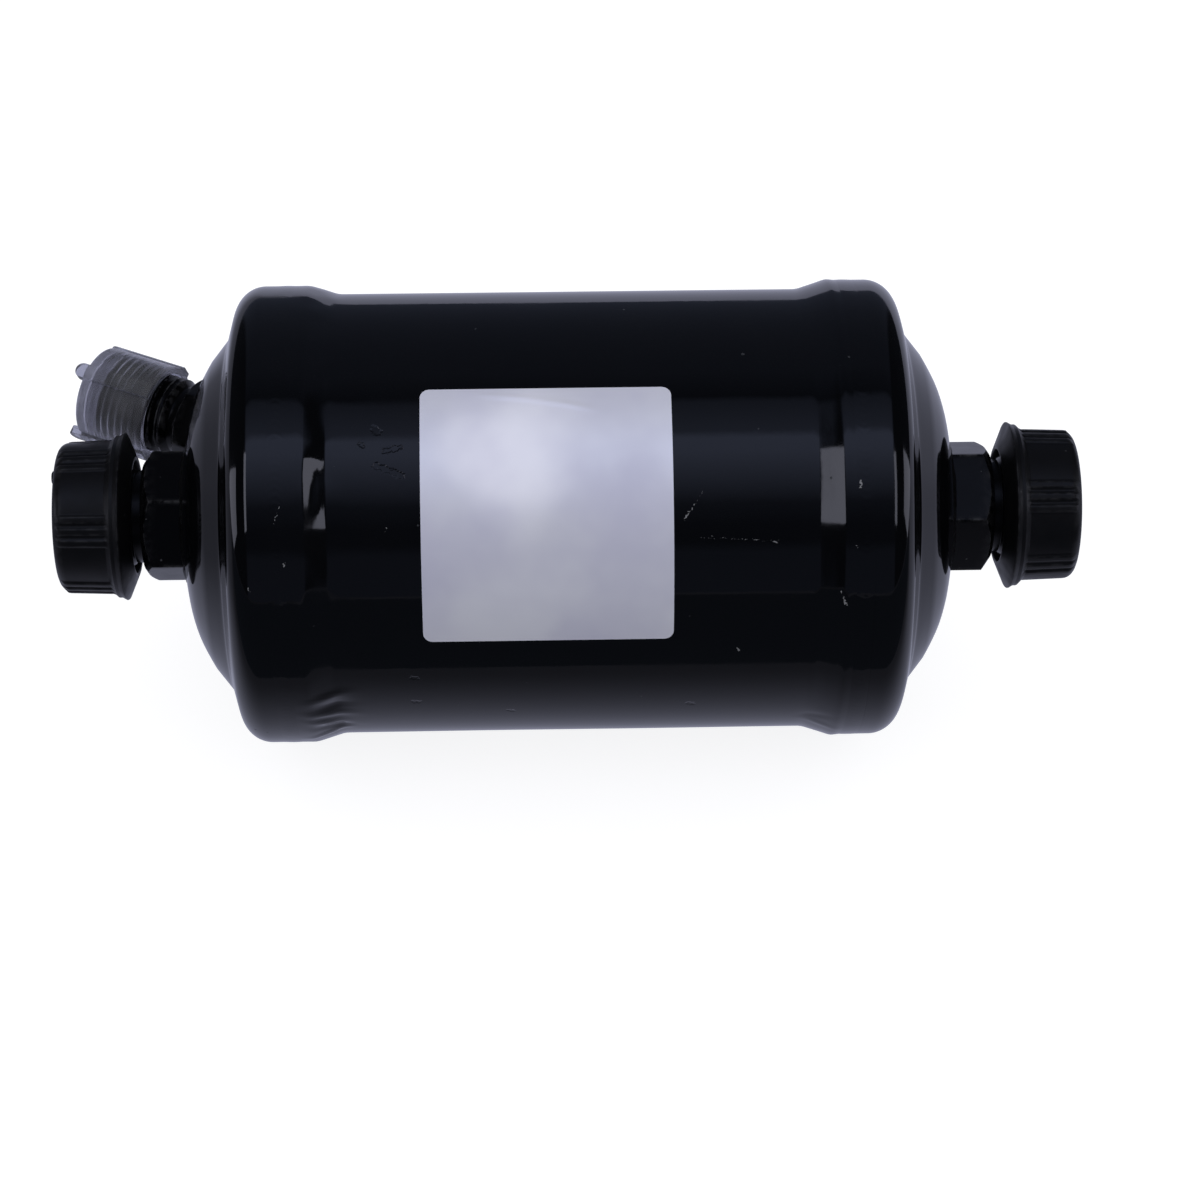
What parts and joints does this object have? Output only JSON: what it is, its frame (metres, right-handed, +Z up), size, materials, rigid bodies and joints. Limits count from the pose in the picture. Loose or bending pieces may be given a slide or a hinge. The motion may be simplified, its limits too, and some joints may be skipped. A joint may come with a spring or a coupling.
{
  "type": "refrigeration oil separator",
  "caption": "Black welded steel oil separator can with a threaded port on each end, an angled oil return port, screw caps and a plain label.",
  "frame": {"origin": "on the can's axis, half way along its shell", "axes": "+X along the axis towards the outlet port, +Z up as the can lies in the picture; the oil return port is on the +Y side of the inlet end"},
  "size_m": [0.1784, 0.0817, 0.0794],
  "materials": {
    "black_paint": "gloss",
    "port_paint": "satin",
    "weld_bead": "satin",
    "seal_rubber": "matte",
    "bare_steel": "satin",
    "knitted_wire": "satin",
    "label_film": "satin",
    "black_cap": "satin",
    "clear_cap": "satin"
  },
  "bodies": {
    "vessel": {"shell_tube": "black_paint", "outlet_head": "black_paint", "inlet_head": "black_paint", "outlet_girth_weld": "black_paint", "inlet_girth_weld": "black_paint", "outlet_fitting": "port_paint", "inlet_fitting": "port_paint", "oil_return_fitting": "port_paint", "outlet_bead": "weld_bead", "inlet_bead": "weld_bead", "oil_return_bead": "weld_bead", "outlet_seal": "seal_rubber", "inlet_seal": "seal_rubber", "oil_return_seal": "seal_rubber", "label": "label_film", "inlet_standpipe": "bare_steel", "standpipe_plug": "bare_steel", "lower_screen": "bare_steel", "upper_screen": "bare_steel", "lower_keeper": "bare_steel", "upper_keeper": "bare_steel", "oil_strainer": "bare_steel", "mesh_pad": "knitted_wire"},
    "outlet_cover": {"outlet_cap": "black_cap"},
    "inlet_cover": {"inlet_cap": "black_cap"},
    "oil_return_cover": {"oil_return_cap": "clear_cap"}
  },
  "joints": [
    {"name": "outlet_cap_off", "type": "slide", "parent": "vessel", "child": "outlet_cover", "axis": [1, 0, 0], "range_m": [0, 0.022]},
    {"name": "inlet_cap_off", "type": "slide", "parent": "vessel", "child": "inlet_cover", "axis": [-1, 0, 0], "range_m": [0, 0.022]},
    {"name": "oil_return_cap_off", "type": "slide", "parent": "vessel", "child": "oil_return_cover", "axis": [-0.8974, 0.4411, 0], "range_m": [0, 0.022]}
  ]
}
